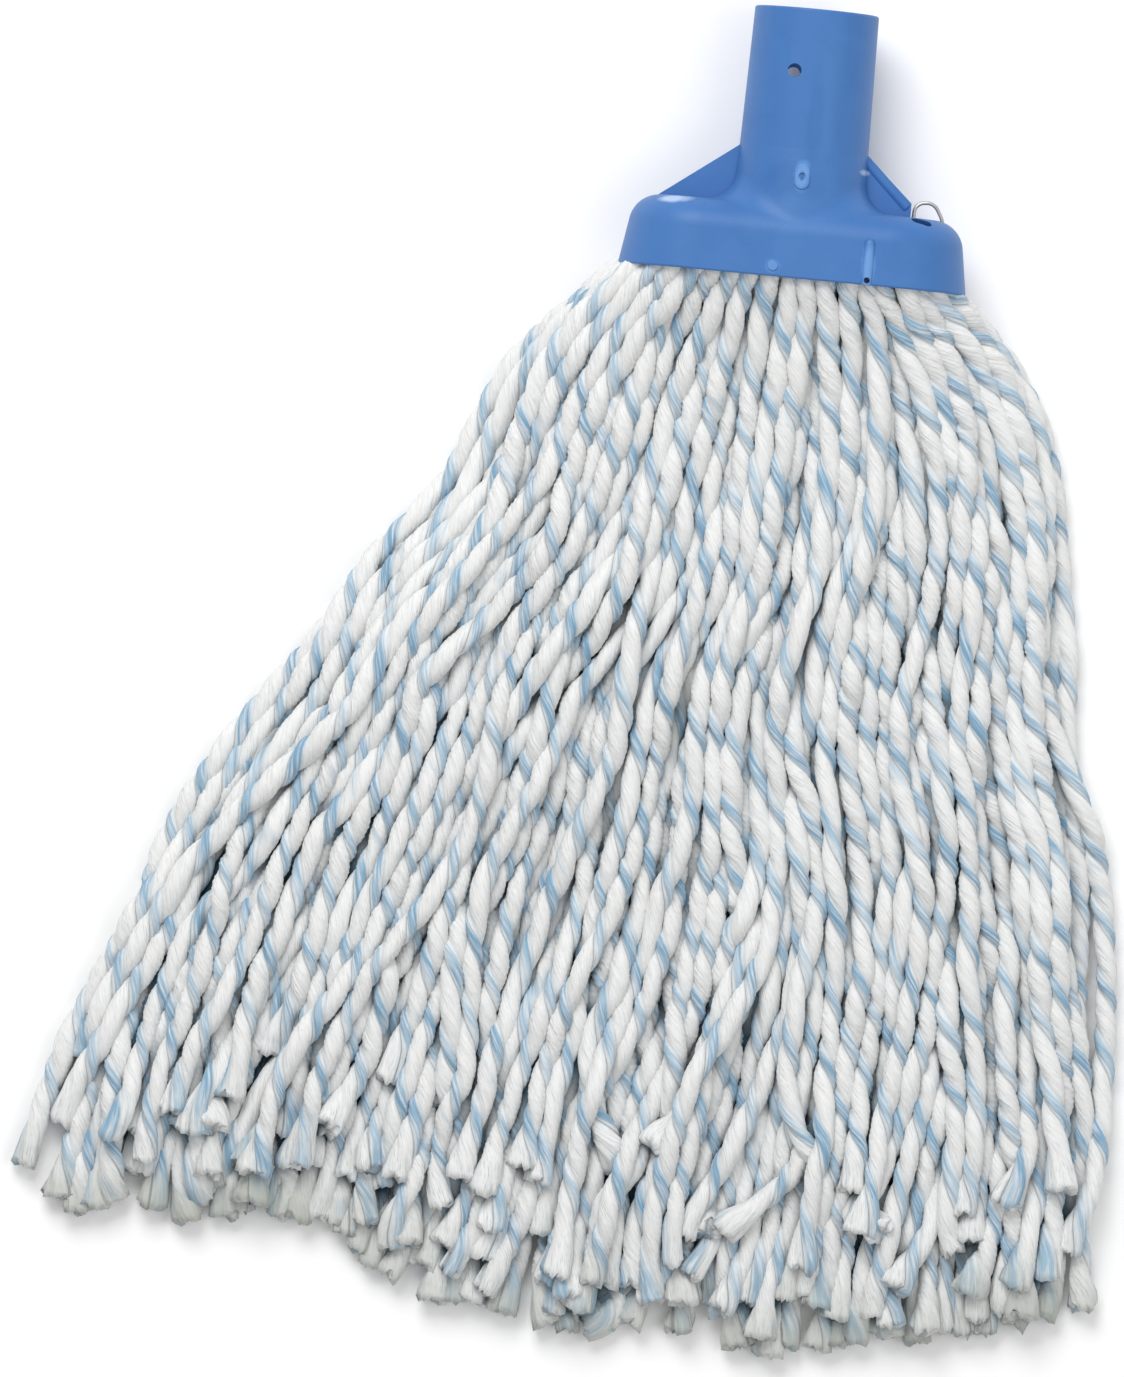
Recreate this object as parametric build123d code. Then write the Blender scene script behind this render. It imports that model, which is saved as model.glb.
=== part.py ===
from build123d import *
import os
from math import hypot, radians, tan

# String mop head, in millimetres. The head lies on the floor on its back, handle socket level.
# Origin: centre of the socket's mouth. +X runs along the skirt, +Y points out of the mouth towards
# the handle, +Z points up off the floor. Every place below is given as (x, down, z), where down is
# the distance from the mouth towards the cut ends of the yarn, so that y = -down.

# --- Handle socket -------------------------------------------------------------------------------
BORE_RADIUS = 12.7
BORE_DEPTH = 50.0
MOUTH_RADIUS = 16.35
NECK_RADIUS = 17.0
NECK_DOWN = 37.0
LIP_ROUND = 0.6
SCREW_HOLE_RADIUS = 1.8
SCREW_HOLE_X = -4.6
SCREW_HOLE_DOWN = 16.6

# --- Skirt ---------------------------------------------------------------------------------------
WALL = 2.9
SHOULDER_DOWN = 52.0
SHOULDER_ROUND = 8.0
SHOULDER_HALF_WIDTH = 43.0
SHOULDER_HALF_DEPTH = 19.2
RIM_DOWN = 71.0
RIM_HALF_WIDTH = 46.0
RIM_HALF_DEPTH = 20.0
CAVITY_DOWN = 55.0
CAVITY_ROUND = 4.0
CONE_FOOT_DOWN = 59.0
CONE_FOOT_RADIUS = 18.6
BLEND_ROUND = 8.0
RIM_ROUND = 0.5

# --- Webs between the tube and the shoulders -------------------------------------------------------
WEB_THICKNESS = 5.0
WEB_ROOT_X = 12.9
LEFT_WEB_END_X = -37.0
RIGHT_WEB_END_X = 29.5
RIGHT_WEB_END_DOWN = 48.2
WEB_LAP = 2.0
BEAD_RADIUS = 1.5
BEAD_LIFT = 1.6
BEAD_INSET = 1.2

# --- Small moulded details -------------------------------------------------------------------------
GATE_DOWN = 44.2
GATE_LENGTH = 7.0
GATE_WIDTH = 4.2
GATE_HEIGHT = 0.45
GATE_DIMPLE_RADIUS = 1.0
GATE_DIMPLE_DEPTH = 0.6
PIP_X = -5.5
PIP_DOWN = 68.2
PIP_RADIUS = 1.5
PIP_HEIGHT = 0.5
DETAIL_ROOT = 1.5
DETAIL_ROUND = 0.9  # share of a detail's height that is rounded off its top edge
RIB_X = 19.4
RIB_TOP_DOWN = 60.2
RIB_RADIUS = 1.5
RIB_SINK = 0.5
RIB_HOLE_RADIUS = 0.8
RIB_HOLE_UP = 1.2
EYE_X = 32.4
EYE_DOWN = 52.0
EYE_Z = 14.0
EYE_LENGTH = 5.4
EYE_WIDTH = 2.8
EYE_DEPTH = 5.0

# --- Binding wire: left end, through the folds, out of the right shoulder and back in ----------------
WIRE_RADIUS = 0.5
WIRE_DOWN = 60.0
WIRE_CLEARANCE = 0.35
FOLD_CLEARANCE = 0.05
WIRE_BEND = 0.45  # share of the shorter run that a bend of the wire takes up
WIRE_ROUTE = [
    (-37.0, WIRE_DOWN),
    (24.0, WIRE_DOWN),
    (30.2, 57.2),
    (30.5, 48.0),
    (35.4, 47.3),
    (38.6, 52.6),
    (38.0, 60.5),
    (33.0, 65.0),
]

# --- Yarn ------------------------------------------------------------------------------------------
COLUMNS = 7
LAYERS = 3
GAP = 0.3
FOLD_TOP_DOWN = 56.0
FLOOR_Z = -RIM_HALF_DEPTH
FLOOR_GAP = 0.2
# The yarn bends at the skirt about one line across it, as deep below the rim as the yarn is thick.
ROOT_RADIUS = 19.0
HINGE_DOWN = RIM_DOWN + ROOT_RADIUS + 1.0
# Stations down the fan: (left x, left down), (right x, right down), height of the pile's top.
FAN = [
    ((-50.0, 71.5), (51.0, 71.5), 19.0),
    ((-64.0, 91.0), (62.0, 91.0), 19.0),
    ((-92.0, 140.0), (78.0, 140.0), 14.5),
    ((-126.0, 200.0), (92.0, 202.0), 8.5),
    ((-154.0, 255.0), (102.0, 265.0), 4.5),
    ((-181.0, 320.0), (107.0, 340.0), 2.0),
]
END_BOW = 27.0
LAYER_STEP_BACK = [0.0, 12.0, 24.0]


def at(down):
    """Plane across the socket's axis at a distance down from the mouth, local x along +X."""
    return Plane(origin=(0, -down, 0), x_dir=(1, 0, 0), z_dir=(0, -1, 0))


def cone(down_a, radius_a, down_b, radius_b):
    """Round tapered length of the socket between two distances down from the mouth."""
    return loft([at(down_a) * Circle(radius_a), at(down_b) * Circle(radius_b)])


def oval(down, half_width, half_depth):
    """Straight-sided oval across the skirt."""
    return at(down) * SlotOverall(2 * half_width, 2 * half_depth)


def oval_block(top, top_half, foot, foot_half, rounding):
    """Tapered oval block with its top edge rounded. The halves are (half width, half depth)."""
    block = loft([oval(top, *top_half), oval(foot, *foot_half)])
    top_face = block.faces().sort_by(Axis.Y)[-1]
    return fillet(top_face.edges(), rounding)


def web(outline, thickness):
    """Flat web in the mid-plane, from its outline as (x, down) points."""
    face = make_face(Polyline([(x, -down) for x, down in outline], close=True))
    return extrude(face, amount=thickness / 2, both=True)


def rod(start, end, radius):
    """Straight round rod between two (x, down, z) points."""
    a = Vector(start[0], -start[1], start[2])
    b = Vector(end[0], -end[1], end[2])
    return extrude(Plane(origin=a, z_dir=b - a) * Circle(radius), amount=(b - a).length)


def skirt_half(down, inset=0.0):
    """Half width and half depth of the skirt's outside at a distance down, less an inset."""
    share = (down - SHOULDER_DOWN) / (RIM_DOWN - SHOULDER_DOWN)
    width = SHOULDER_HALF_WIDTH + share * (RIM_HALF_WIDTH - SHOULDER_HALF_WIDTH)
    depth = SHOULDER_HALF_DEPTH + share * (RIM_HALF_DEPTH - SHOULDER_HALF_DEPTH)
    return width - inset, depth - inset


def corner_radii(points):
    """Tangent arc for each inner corner, as large as its shorter run allows."""
    radii = []
    for before, corner, after in zip(points, points[1:], points[2:]):
        run_in = Vector(*corner) - Vector(*before)
        run_out = Vector(*after) - Vector(*corner)
        half_turn = radians(run_in.get_angle(run_out)) / 2
        radii.append(WIRE_BEND * min(run_in.length, run_out.length) / tan(half_turn))
    return radii


def wire_tube(radius):
    """Tube along the wire's route."""
    points = [(x, -down, 0) for x, down in WIRE_ROUTE]
    path = FilletPolyline(points, radius=corner_radii(points))
    start = Plane(origin=path @ 0, z_dir=path % 0)
    return sweep(start * Circle(radius), path=path)


def web_outline(side, end_x, end_down):
    """Outline of one web: side is -1 on the left and 1 on the right."""
    lap = SHOULDER_DOWN + WEB_LAP
    return [
        (side * WEB_ROOT_X, NECK_DOWN),
        (side * NECK_RADIUS, NECK_DOWN),
        (end_x, end_down),
        (end_x, lap),
        (side * WEB_ROOT_X, lap),
    ]


def make_outside():
    """Outside of the shell, solid: skirt, round tapered tube and the rounded blend between them."""
    skirt = oval_block(
        SHOULDER_DOWN, skirt_half(SHOULDER_DOWN), RIM_DOWN, skirt_half(RIM_DOWN), SHOULDER_ROUND
    )
    skirt = fillet(skirt.faces().sort_by(Axis.Y)[0].edges(), RIM_ROUND)
    body = cone(NECK_DOWN, NECK_RADIUS, CONE_FOOT_DOWN, CONE_FOOT_RADIUS) + skirt
    crease = [
        edge
        for edge in body.edges()
        if edge.geom_type != GeomType.LINE
        and -CONE_FOOT_DOWN < edge.center().Y < -SHOULDER_DOWN + 1
        and abs(edge.center().X) < CONE_FOOT_RADIUS
    ]
    body = fillet(crease, BLEND_ROUND)
    tube = cone(0, MOUTH_RADIUS, NECK_DOWN, NECK_RADIUS)
    return body + fillet(tube.faces().sort_by(Axis.Y)[-1].edges(), LIP_ROUND)


def make_shell():
    """Socket, webs, shoulders and skirt, as one moulding."""
    body = make_outside()
    body += web(web_outline(-1, LEFT_WEB_END_X, SHOULDER_DOWN), WEB_THICKNESS)
    body += web(web_outline(1, RIGHT_WEB_END_X, RIGHT_WEB_END_DOWN), WEB_THICKNESS)
    bead_start = (NECK_RADIUS - BEAD_INSET, NECK_DOWN + BEAD_INSET / 2, BEAD_LIFT)
    bead_end = (RIGHT_WEB_END_X - BEAD_INSET, RIGHT_WEB_END_DOWN + BEAD_INSET, BEAD_LIFT)
    body += rod(bead_start, bead_end, BEAD_RADIUS)
    for detail in make_details():
        body += detail

    body -= cone(0, BORE_RADIUS, BORE_DEPTH, BORE_RADIUS)
    body -= oval_block(
        CAVITY_DOWN, skirt_half(CAVITY_DOWN, WALL), RIM_DOWN, skirt_half(RIM_DOWN, WALL), CAVITY_ROUND
    )
    screw_back = (SCREW_HOLE_X, SCREW_HOLE_DOWN, -NECK_RADIUS)
    screw_front = (SCREW_HOLE_X, SCREW_HOLE_DOWN, NECK_RADIUS)
    body -= rod(screw_back, screw_front, SCREW_HOLE_RADIUS)
    rib_hole_down = RIM_DOWN - RIB_HOLE_UP
    rib_hole_z = RIM_HALF_DEPTH + RIB_RADIUS
    body -= rod((RIB_X, rib_hole_down, 0), (RIB_X, rib_hole_down, rib_hole_z), RIB_HOLE_RADIUS)
    eye_plane = Plane(origin=(EYE_X, -EYE_DOWN, EYE_Z), x_dir=(1, 0, 0), z_dir=(0, 1, 1))
    body -= extrude(eye_plane * SlotOverall(EYE_LENGTH, EYE_WIDTH), amount=EYE_DEPTH, both=True)
    return body - wire_tube(WIRE_RADIUS + WIRE_CLEARANCE)


def make_details():
    """Gate ring, pip and half-round rib on the front of the shell."""
    taper = (CONE_FOOT_RADIUS - NECK_RADIUS) / (CONE_FOOT_DOWN - NECK_DOWN)
    gate_z = NECK_RADIUS + taper * (GATE_DOWN - NECK_DOWN)
    gate_plane = Plane(origin=(0, -GATE_DOWN, gate_z), x_dir=(1, 0, 0), z_dir=(0, taper, 1))
    gate_outline = gate_plane.offset(-DETAIL_ROOT) * SlotOverall(GATE_LENGTH, GATE_WIDTH, rotation=90)
    gate = extrude(gate_outline, amount=DETAIL_ROOT + GATE_HEIGHT)
    gate = fillet(gate.faces().sort_by(Axis.Z)[-1].edges(), DETAIL_ROUND * GATE_HEIGHT)
    dimple_foot = (0, GATE_DOWN, gate_z - GATE_DIMPLE_DEPTH)
    gate -= rod(dimple_foot, (0, GATE_DOWN, gate_z + DETAIL_ROOT), GATE_DIMPLE_RADIUS)

    pip_z = skirt_half(PIP_DOWN)[1]
    pip = rod((PIP_X, PIP_DOWN, pip_z - DETAIL_ROOT), (PIP_X, PIP_DOWN, pip_z + PIP_HEIGHT), PIP_RADIUS)
    pip = fillet(pip.faces().sort_by(Axis.Z)[-1].edges(), DETAIL_ROUND * PIP_HEIGHT)

    top = (RIB_X, RIB_TOP_DOWN, skirt_half(RIB_TOP_DOWN)[1] - RIB_SINK)
    foot = (RIB_X, RIM_DOWN, skirt_half(RIM_DOWN)[1] - RIB_SINK)
    cap = Pos(top[0], -top[1], top[2]) * Sphere(RIB_RADIUS)
    return [gate, pip, rod(top, foot, RIB_RADIUS), cap]


def make_fold(column):
    """Folded yarn of one column, packed inside the skirt round the wire."""
    inset = WALL + GAP
    block = oval_block(
        FOLD_TOP_DOWN, skirt_half(FOLD_TOP_DOWN, inset), RIM_DOWN, skirt_half(RIM_DOWN, inset),
        CAVITY_ROUND,
    )
    full = 2 * skirt_half(RIM_DOWN, inset)[0]
    pitch = full / COLUMNS
    centre = -full / 2 + (column + 0.5) * pitch
    slab = Box(pitch - GAP, 2 * RIM_DOWN, 3 * RIM_HALF_DEPTH)
    return (block & Pos(centre, -RIM_DOWN, 0) * slab) - wire_tube(WIRE_RADIUS + FOLD_CLEARANCE)


def fan_point(share, station):
    """Point on the floor plan of the fan: share runs 0 to 1 from its left edge to its right edge."""
    (left_x, left_down), (right_x, right_down), _ = FAN[station]
    bow = END_BOW * (station / (len(FAN) - 1)) ** 2 * 4 * share * (1 - share)
    x = left_x + share * (right_x - left_x)
    down = left_down + share * (right_down - left_down) + bow
    return x, down


def lock_section(column, layer, station):
    """Upright four-cornered section of one lock at one station, clear of its neighbours."""
    ax, ad = fan_point(column / COLUMNS, station)
    bx, bd = fan_point((column + 1) / COLUMNS, station)
    top = FAN[station][2]
    if station == len(FAN) - 1:
        back = LAYER_STEP_BACK[layer]
        pax, pad = fan_point(column / COLUMNS, station - 1)
        pbx, pbd = fan_point((column + 1) / COLUMNS, station - 1)
        share_a = back / hypot(ax - pax, ad - pad)
        share_b = back / hypot(bx - pbx, bd - pbd)
        ax, ad = ax + share_a * (pax - ax), ad + share_a * (pad - ad)
        bx, bd = bx + share_b * (pbx - bx), bd + share_b * (pbd - bd)
        top += (share_a + share_b) / 2 * (FAN[station - 1][2] - top)
    width = hypot(bx - ax, bd - ad)
    inset = GAP / width
    foot = FLOOR_Z + FLOOR_GAP
    rise = (top - foot) / LAYERS
    low = foot + layer * rise + (GAP / 2 if layer else 0)
    high = foot + (layer + 1) * rise - GAP / 2
    near = (ax + inset * (bx - ax), -(ad + inset * (bd - ad)))
    far = (bx - inset * (bx - ax), -(bd - inset * (bd - ad)))
    corners = [(*near, low), (*far, low), (*far, high), (*near, high)]
    return make_face(Polyline(corners, close=True))


def make_lock(column, layer, envelope):
    """One lock of yarn legs, from the rounded root at the skirt to the cut ends."""
    lock = loft([lock_section(column, layer, i) for i in range(len(FAN))], ruled=True)
    return lock & envelope


def make_envelope():
    """Space the yarn may fill: round about the bending line near the skirt, free beyond it."""
    reach = 400.0
    root = rod((-reach, HINGE_DOWN, 0), (reach, HINGE_DOWN, 0), ROOT_RADIUS)
    beyond = Pos(0, -HINGE_DOWN - reach / 2, 0) * Box(2 * reach, reach, 3 * RIM_HALF_DEPTH)
    return root + beyond


def main():
    os.makedirs("parts", exist_ok=True)
    nodes = {"socket_shell": make_shell(), "binding_wire": wire_tube(WIRE_RADIUS)}
    for column in range(COLUMNS):
        nodes[f"yarn_fold_{column + 1}"] = make_fold(column)
    envelope = make_envelope()
    for layer in range(LAYERS):
        for column in range(COLUMNS):
            nodes[f"yarn_lock_{layer + 1}{column + 1}"] = make_lock(column, layer, envelope)
    for name, shape in nodes.items():
        export_step(shape, f"parts/{name}.step")


main()
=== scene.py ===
import math

import bpy
import numpy as np
from mathutils import Euler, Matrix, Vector


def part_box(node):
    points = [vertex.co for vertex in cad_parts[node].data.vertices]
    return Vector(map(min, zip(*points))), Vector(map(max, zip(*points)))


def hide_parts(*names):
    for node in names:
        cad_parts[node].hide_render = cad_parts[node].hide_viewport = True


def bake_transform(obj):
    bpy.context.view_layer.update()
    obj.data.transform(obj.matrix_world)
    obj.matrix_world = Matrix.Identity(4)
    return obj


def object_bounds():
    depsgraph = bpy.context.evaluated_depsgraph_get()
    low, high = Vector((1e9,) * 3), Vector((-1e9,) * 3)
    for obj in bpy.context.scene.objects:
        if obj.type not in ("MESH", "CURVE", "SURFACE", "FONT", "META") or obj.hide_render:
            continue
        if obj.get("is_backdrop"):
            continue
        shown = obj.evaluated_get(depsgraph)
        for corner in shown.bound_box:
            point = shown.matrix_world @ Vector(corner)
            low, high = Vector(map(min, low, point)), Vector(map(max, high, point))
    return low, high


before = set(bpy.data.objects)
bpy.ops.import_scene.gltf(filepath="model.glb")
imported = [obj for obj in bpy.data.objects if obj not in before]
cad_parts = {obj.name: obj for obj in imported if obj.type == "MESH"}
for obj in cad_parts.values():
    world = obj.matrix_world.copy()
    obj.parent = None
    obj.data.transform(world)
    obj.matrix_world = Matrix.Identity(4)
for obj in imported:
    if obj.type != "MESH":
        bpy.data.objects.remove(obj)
CAD_LOW, CAD_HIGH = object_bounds()

# Millimetres are used for planning and simulating the yarn. A place is (x, down, z) there: down is
# measured from the socket's mouth towards the cut ends, so that down = -y.
MM = 0.001
SHELL_LOW, SHELL_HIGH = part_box("socket_shell")
RIM_DOWN = -SHELL_LOW.y / MM
FLOOR_Z = CAD_LOW.z / MM
# Inset of the mouth from the skirt's outside.
WALL = 2.9
MOUTH_HALF_WIDTH = SHELL_HIGH.x / MM - WALL
MOUTH_HALF_DEPTH = -SHELL_LOW.z / MM - WALL

# --- Camera --------------------------------------------------------------------------------------
# The view's long side and its centre (x, down) are in mm at z = 0. Lens and sensor are in mm too.
CAMERA_LENS = 500.0
CAMERA_LONG_SIDE = 362.4
CAMERA_CENTRE = (-49.9, 183.9)
CAMERA_ROLL = math.radians(5.47)
SENSOR = 36.0

# --- Yarn ----------------------------------------------------------------------------------------
SEED = 11
LEG_LENGTH = 286.0
LEG_START_UP = 9.0
# A strand is drawn thicker than it rests, so neighbours press into each other.
STRAND_RADIUS = 3.2
REST_RADIUS = 2.6
TWIST_PITCH = 19.0
POINTS_PER_LEG = 60
SOFT_RUN = 45.0
DECLARED_LEGS = 40

# Rings of exits in the mouth, from the wall inwards: (inset from the wall, pitch, radius there).
EXIT_RINGS = [(2.5, 4.8, 2.4), (6.8, 4.3, 2.1), (10.8, 3.8, 1.9), (14.6, 3.5, 1.8)]
EXIT_UNEVEN = 0.3

# Layers count up from the floor, and the higher ones are the shorter ones.
LAYERS = 4
LAYER_RISE = 4.7
LAYER_SHORTER = [2.0, 10.0, 22.0, 33.0]
LAYER_MIX = 1.2
LAYER_MARGIN = 0.012
ORDER_MIX = 1.5
SHORTER_LEAST = 0.3
SHORTER_VARIES = 1.1
# Extra length of a leg, in mm, by its share across the fan.
EXTRA_LENGTHS = [(0, 17), (0.05, 13), (0.10, 5), (0.17, -6), (0.30, -7), (0.42, 1), (0.85, -1), (1, -5)]

# Headings of the fan's two edges, in degrees outwards, at distances along a leg from the rim.
LEFT_HEADINGS = [
    (0, 57), (18, 43), (40, 23), (58, 8), (73, 10), (87, 59), (107, 52), (121, 27), (137, 16),
    (154, 38), (175, 38), (192, 28), (210, 20), (250, 19), (300, 0),
]
RIGHT_HEADINGS = [
    (0, 60), (12, 50), (28, 27), (46, 12), (60, 9), (85, 5), (105, 3), (118, 9), (130, 30), (146, 27),
    (160, 10), (180, 10), (200, 3), (225, 7), (245, 0), (300, -3),
]

# How a leg wanders from its neighbours. Drifts are shares of the fan's width, and heights, lengths
# and runs are in mm.
WAVES = 3
WAVE_HEIGHT = 1.6
WAVE_LENGTHS = (60, 190)
DRIFT = 0.013
DRIFT_FROM = 20
DRIFT_RUN = 240
STRAY_SHARE = 0.2
STRAY_DRIFT = 0.07
# The legs along the fan's edges wander less, so that the edges keep their line.
EDGE_FREEDOM = 0.2
EDGE_SHARE = 0.12
LIFT = 1.2
LOOSE_RUN = 90
FALL_RUN = 110
# Spread of the tips' turn in degrees, and the larger turn, to either side, that a few have on top.
TIP_TURN = 16
BENT_TIP_TURN = 35
BENT_TIP_SHARE = 0.1
TIP_TURN_RUN = 24

# Waves that gather legs into locks: height in mm, waves across the fan, waves per mm along a leg,
# and how many times the layer's phase they are shifted by.
CLUMP_WAVES = [(5.0, 5.3, 0.0016, 1.0), (3.6, 12.7, -0.0031, 2.3), (2.3, 21.0, 0.0052, 3.1)]
CLUMP_PHASE = 1.9


def smooth(x):
    """Smooth step from 0 to 1."""
    x = np.clip(x, 0.0, 1.0)
    return x * x * (3.0 - 2.0 * x)


def make_camera():
    """Camera straight above the mop, turned so that the socket leans to the right."""
    data = bpy.data.cameras.new("camera")
    data.lens = CAMERA_LENS
    data.sensor_width = SENSOR
    away = CAMERA_LONG_SIDE * CAMERA_LENS / SENSOR
    camera = bpy.data.objects.new("camera", data)
    camera.location = (CAMERA_CENTRE[0] * MM, -CAMERA_CENTRE[1] * MM, away * MM)
    camera.rotation_euler = Euler((0.0, 0.0, CAMERA_ROLL))
    bpy.context.scene.collection.objects.link(camera)
    bpy.context.scene.camera = camera


make_camera()


# === Yarn: plan ====================================================================================


def exit_places(rng):
    """Where the legs pass the rim: rings inside the mouth's oval. Rows of (x, z, radius there)."""
    places = []
    straight = MOUTH_HALF_WIDTH - MOUTH_HALF_DEPTH
    for inset, pitch, radius in EXIT_RINGS:
        turn = MOUTH_HALF_DEPTH - inset
        around = 4 * straight + 2 * math.pi * turn
        count = int(around / pitch)
        for i in range(count):
            at = (i + EXIT_UNEVEN * rng.random()) * around / count
            if at < 2 * straight:
                x, z = at - straight, turn
            elif at < 2 * straight + math.pi * turn:
                angle = (at - 2 * straight) / turn
                x, z = straight + turn * math.sin(angle), turn * math.cos(angle)
            elif at < 4 * straight + math.pi * turn:
                x, z = 3 * straight + math.pi * turn - at, -turn
            else:
                angle = (at - 4 * straight - math.pi * turn) / turn
                x, z = -straight - turn * math.sin(angle), -turn * math.cos(angle)
            places.append((x, z, radius))
    return np.array(places)


class Legs:
    """The plan of every leg: exit, layer, share across the fan, length and own small bends."""

    def __init__(self, rng):
        places = exit_places(rng)
        self.x, self.z, self.mouth_radius = places.T
        self.count = len(places)
        rank = np.argsort(np.argsort(self.z + rng.normal(0, LAYER_MIX, self.count)))
        self.layer = (rank * LAYERS) // self.count
        self.share = np.zeros(self.count)
        for layer in range(LAYERS):
            members = np.flatnonzero(self.layer == layer)
            order = members[np.argsort(self.x[members] + rng.normal(0, ORDER_MIX, len(members)))]
            margin = LAYER_MARGIN * layer
            self.share[order] = np.linspace(margin, 1 - margin, len(order))
        shorter = np.array(LAYER_SHORTER)[self.layer]
        self.length = LEG_LENGTH - shorter * (SHORTER_LEAST + SHORTER_VARIES * rng.random(self.count))
        self.length += np.interp(self.share, *zip(*EXTRA_LENGTHS))
        self.wave = rng.normal(0, 1.0, (self.count, WAVES))
        self.wave_length = rng.uniform(*WAVE_LENGTHS, (self.count, WAVES))
        self.wave_phase = rng.uniform(0, 2 * math.pi, (self.count, WAVES))
        stray = rng.random(self.count) < STRAY_SHARE
        self.drift = rng.normal(0, DRIFT, self.count) + rng.normal(0, STRAY_DRIFT, self.count) * stray
        from_edge = 0.5 - np.abs(self.share - 0.5)
        self.freedom = EDGE_FREEDOM + (1 - EDGE_FREEDOM) * smooth(from_edge / EDGE_SHARE)
        self.drift *= self.freedom
        self.lift = rng.normal(0, LIFT, self.count)
        self.tip_turn = np.radians(rng.normal(0, TIP_TURN, self.count))
        side = rng.choice([-1, 1], self.count)
        bent = rng.random(self.count) < BENT_TIP_SHARE
        self.tip_turn += np.radians(side * BENT_TIP_TURN * bent)
        self.tip_turn *= self.freedom


def clump(share, along, layer):
    """Sideways pull, in mm, that gathers neighbouring legs into loose locks with gaps between."""
    phase = CLUMP_PHASE * layer
    pull = 0.0
    for height, waves, lean, phases in CLUMP_WAVES:
        pull = pull + height * np.sin(2 * math.pi * (waves * share + lean * along) + phases * phase)
    return pull


def planned_routes(legs):
    """Each leg before the yarn settles: (legs, points, 3) places and distances from the rim, in mm."""
    along = np.linspace(0, 1, POINTS_PER_LEG)[None, :] * (legs.length + LEG_START_UP)[:, None]
    along -= LEG_START_UP
    share = legs.share[:, None] + legs.drift[:, None] * smooth((along - DRIFT_FROM) / DRIFT_RUN)
    left = -np.interp(along, *zip(*LEFT_HEADINGS))
    right = np.interp(along, *zip(*RIGHT_HEADINGS))
    heading = np.radians(left + share * (right - left))
    heading = np.where(along < 0, 0.0, heading)
    tip = smooth((along - legs.length[:, None] + TIP_TURN_RUN) / TIP_TURN_RUN)
    heading = heading + tip * legs.tip_turn[:, None]
    step = along[:, 1:] - along[:, :-1]
    middle = (heading[:, 1:] + heading[:, :-1]) / 2
    x = np.concatenate([np.zeros((legs.count, 1)), np.cumsum(np.sin(middle) * step, 1)], 1)
    down = np.concatenate([np.zeros((legs.count, 1)), np.cumsum(np.cos(middle) * step, 1)], 1)
    x += legs.x[:, None]
    down += RIM_DOWN - LEG_START_UP
    loose = smooth(along / LOOSE_RUN)
    side = clump(share, along, legs.layer[:, None]) * loose
    for k in range(WAVES):
        phase = 2 * math.pi * along / legs.wave_length[:, k:k + 1] + legs.wave_phase[:, k:k + 1]
        side = side + WAVE_HEIGHT * (legs.wave[:, k] * legs.freedom)[:, None] * np.sin(phase) * loose
    x += side * np.cos(heading)
    down -= side * np.sin(heading)
    lying = FLOOR_Z + REST_RADIUS + LAYER_RISE * legs.layer[:, None] + legs.lift[:, None]
    fall = smooth(along / FALL_RUN)
    z = legs.z[:, None] * (1 - fall) + lying * fall
    return np.stack([x, down, z], 2), along


def resting_radius(along, legs):
    """Radius that each particle keeps to itself, squeezed in the mouth and full further out."""
    soft = smooth(along / SOFT_RUN)
    return legs.mouth_radius[:, None] * (1 - soft) + REST_RADIUS * soft


# === Yarn: settling ================================================================================

NEAR = 8.5
PAIRS_EVERY = 8
SETTLE_STEPS = 420
LENGTH_ROUNDS = 2
HELD_RUN = 1.0
# Moves in one step: sinking in mm, and shares of the way back to the plan, to straight and to clear.
# An ease is the share of a move that is lost by the last step.
SINK = 0.16
SINK_EASE = 0.8
GUIDE = 0.035
GUIDE_EASE = 0.7
STRAIGHTEN = 0.22
PUSH = 0.3
TINY = 1e-9
# Half of a cell's neighbours, so that each pair of cells is looked at once.
HALF_SHELL = [
    (dx, dy, dz)
    for dx in (-1, 0, 1)
    for dy in (-1, 0, 1)
    for dz in (-1, 0, 1)
    if (dz, dy, dx) > (0, 0, 0)
]


def near_pairs(places, leg):
    """Index pairs of particles on different legs that are nearer to each other than NEAR."""
    cell = np.floor(places / NEAR).astype(np.int64)
    cell -= cell.min(0) - 1
    size = cell.max(0) + 2
    key = cell[:, 0] + size[0] * (cell[:, 1] + size[1] * cell[:, 2])
    order = np.argsort(key, kind="stable")
    key = key[order]
    index = np.arange(len(key))
    first_all, second_all = [], []
    for dx, dy, dz in [(0, 0, 0)] + HALF_SHELL:
        wanted = key + dx + size[0] * (dy + size[1] * dz)
        low = np.searchsorted(key, wanted, "left")
        high = np.searchsorted(key, wanted, "right")
        if (dx, dy, dz) == (0, 0, 0):
            low = index + 1
        number = np.maximum(high - low, 0)
        first = np.repeat(index, number)
        start = np.repeat(np.cumsum(number) - number, number)
        second = np.arange(len(first)) - start + np.repeat(low, number)
        first_all.append(order[first])
        second_all.append(order[second])
    a = np.concatenate(first_all)
    b = np.concatenate(second_all)
    gap = places[a] - places[b]
    keep = (np.einsum("ij,ij->i", gap, gap) < NEAR * NEAR) & (leg[a] != leg[b])
    return a[keep], b[keep]


def push_apart(flat, radius, a, b, strength):
    """Moves overlapping particles apart."""
    gap = flat[a] - flat[b]
    distance = np.sqrt(np.einsum("ij,ij->i", gap, gap)) + TINY
    overlap = radius[a] + radius[b] - distance
    hit = overlap > 0
    a, b, gap = a[hit], b[hit], gap[hit]
    push = gap * (strength * overlap[hit] / distance[hit])[:, None]
    n = len(flat)
    for k in range(3):
        flat[:, k] += np.bincount(a, push[:, k], n) - np.bincount(b, push[:, k], n)


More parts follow.
